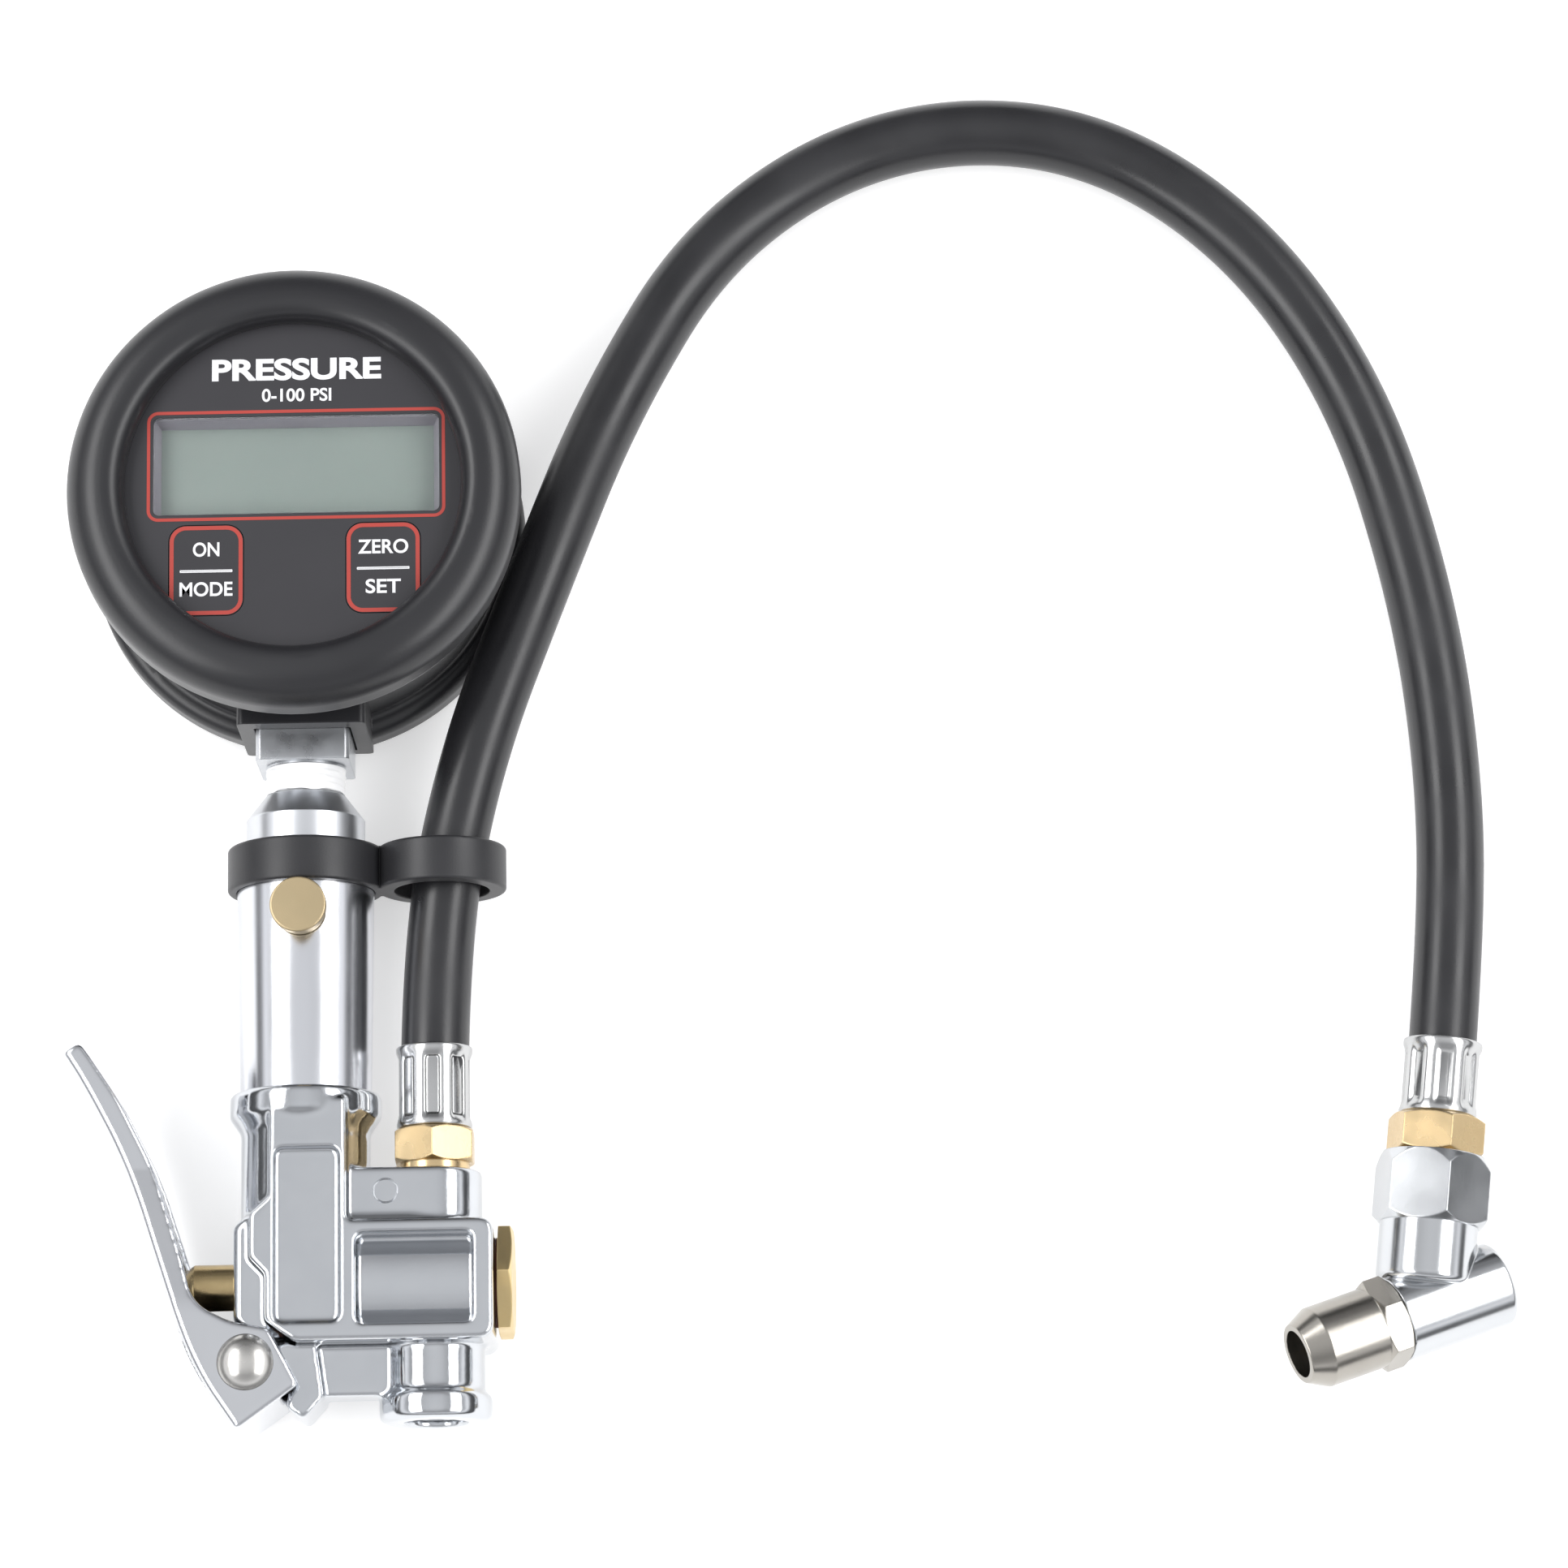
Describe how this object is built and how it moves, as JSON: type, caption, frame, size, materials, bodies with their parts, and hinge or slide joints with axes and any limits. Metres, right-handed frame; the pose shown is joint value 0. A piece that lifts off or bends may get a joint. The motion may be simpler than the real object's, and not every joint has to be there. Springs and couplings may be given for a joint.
{
  "type": "tyre inflator with gauge",
  "caption": "Hand-held tyre inflator: round digital gauge in a rubber boot, tube handle, squeeze-lever valve body, and a hose looped round to an angled push-on air chuck.",
  "frame": {"origin": "centre of the gauge boot's flat back, on the surface that the tool lies on", "axes": "+Z out of the gauge's face, -Y down the handle from the gauge to the air inlet, +X towards the hose's side"},
  "size_m": [0.268, 0.2591, 0.05],
  "materials": {
    "boot_rubber": "satin",
    "case_plastic": "satin",
    "panel_print": "satin",
    "window_clear": "polished",
    "frame_plastic": "satin",
    "display_glass": "satin",
    "board_green": "satin",
    "cell_steel": "satin",
    "switch_steel": "satin",
    "key_print": "satin",
    "stem_metal": "satin",
    "tape_white": "matte",
    "cap_chrome": "satin",
    "tube_chrome": "polished",
    "seal_rubber": "matte",
    "clip_rubber": "satin",
    "button_brass": "satin",
    "valve_brass": "satin",
    "spring_steel": "satin",
    "body_chrome": "polished",
    "plunger_brass": "satin",
    "plug_brass": "satin",
    "fibre": "matte",
    "lever_chrome": "polished",
    "rivet_steel": "satin",
    "fitting_brass": "satin",
    "ferrule_chrome": "polished",
    "hose_rubber": "satin",
    "chuck_chrome": "polished",
    "chuck_satin": "satin"
  },
  "bodies": {
    "inflator": {"gauge_boot": "boot_rubber", "gauge_case": "case_plastic", "face_panel": "panel_print", "display_window": "window_clear", "display_frame": "frame_plastic", "lcd_panel": "display_glass", "circuit_board": "board_green", "board_screws": "spring_steel", "battery_holder": "case_plastic", "battery": "cell_steel", "key_switches": "switch_steel", "gauge_stem": "stem_metal", "thread_tape": "tape_white", "pressure_sensor": "cell_steel", "handle_cap": "cap_chrome", "cap_seal": "seal_rubber", "handle_tube": "tube_chrome", "tube_seal": "seal_rubber", "hose_clip": "clip_rubber", "deflator_seat": "valve_brass", "deflator_spring": "spring_steel", "spring_cup": "valve_brass", "valve_body": "body_chrome", "valve_seat": "valve_brass", "valve_spring": "spring_steel", "valve_plug": "plug_brass", "plug_washer": "fibre", "inlet_screen": "spring_steel", "lever_bush": "valve_brass", "pivot_washers": "fibre", "body_fitting": "fitting_brass", "body_ferrule": "ferrule_chrome", "hose": "hose_rubber", "chuck_ferrule": "ferrule_chrome", "chuck_fitting": "fitting_brass", "chuck_body": "chuck_chrome", "chuck_nose": "chuck_satin", "chuck_seal": "seal_rubber", "chuck_spring": "spring_steel"},
    "lever": {"lever": "lever_chrome", "lever_rivet": "rivet_steel"},
    "plunger": {"plunger": "plunger_brass", "plunger_seal": "seal_rubber"},
    "poppet": {"poppet": "valve_brass", "poppet_seal": "seal_rubber"},
    "deflator": {"deflator_button": "button_brass", "deflator_disc": "valve_brass", "deflator_seal": "seal_rubber"},
    "mode_key": {"mode_key": "key_print"},
    "set_key": {"set_key": "key_print"},
    "chuck_pin": {"chuck_pin": "valve_brass"}
  },
  "joints": [
    {"name": "lever_hinge", "type": "hinge", "parent": "inflator", "child": "lever", "pos_m": [-0.0102, -0.1605, 0.015], "axis": [0, 0, -1], "range_deg": [0, 14], "stiffness_Nm_per_rad": 0.6, "springref_deg": -20.05},
    {"name": "plunger_slide", "type": "slide", "parent": "inflator", "child": "plunger", "axis": [1, 0, 0], "range_m": [0, 0.0043]},
    {"name": "poppet_slide", "type": "slide", "parent": "inflator", "child": "poppet", "axis": [1, 0, 0], "range_m": [0, 0.0043], "deforming": ["valve_spring"]},
    {"name": "deflator_slide", "type": "slide", "parent": "inflator", "child": "deflator", "axis": [0, 0, -1], "range_m": [0, 0.0023], "stiffness_N_per_m": 900, "springref_m": -0.003, "deforming": ["deflator_spring"]},
    {"name": "mode_key_slide", "type": "slide", "parent": "inflator", "child": "mode_key", "axis": [0, 0, -1], "range_m": [0, 0.00035], "stiffness_N_per_m": 1500, "springref_m": -0.0003},
    {"name": "set_key_slide", "type": "slide", "parent": "inflator", "child": "set_key", "axis": [0, 0, -1], "range_m": [0, 0.00035], "stiffness_N_per_m": 1500, "springref_m": -0.0003},
    {"name": "chuck_pin_slide", "type": "slide", "parent": "inflator", "child": "chuck_pin", "axis": [0.9148, 0.3283, -0.2352], "range_m": [0, 0.0018], "stiffness_N_per_m": 600, "springref_m": -0.003, "deforming": ["chuck_spring"]}
  ],
  "couplings": [
    {"joint": "plunger_slide", "follows": "lever_hinge", "m_per_rad": 0.0172},
    {"joint": "poppet_slide", "follows": "lever_hinge", "m_per_rad": 0.0172}
  ]
}
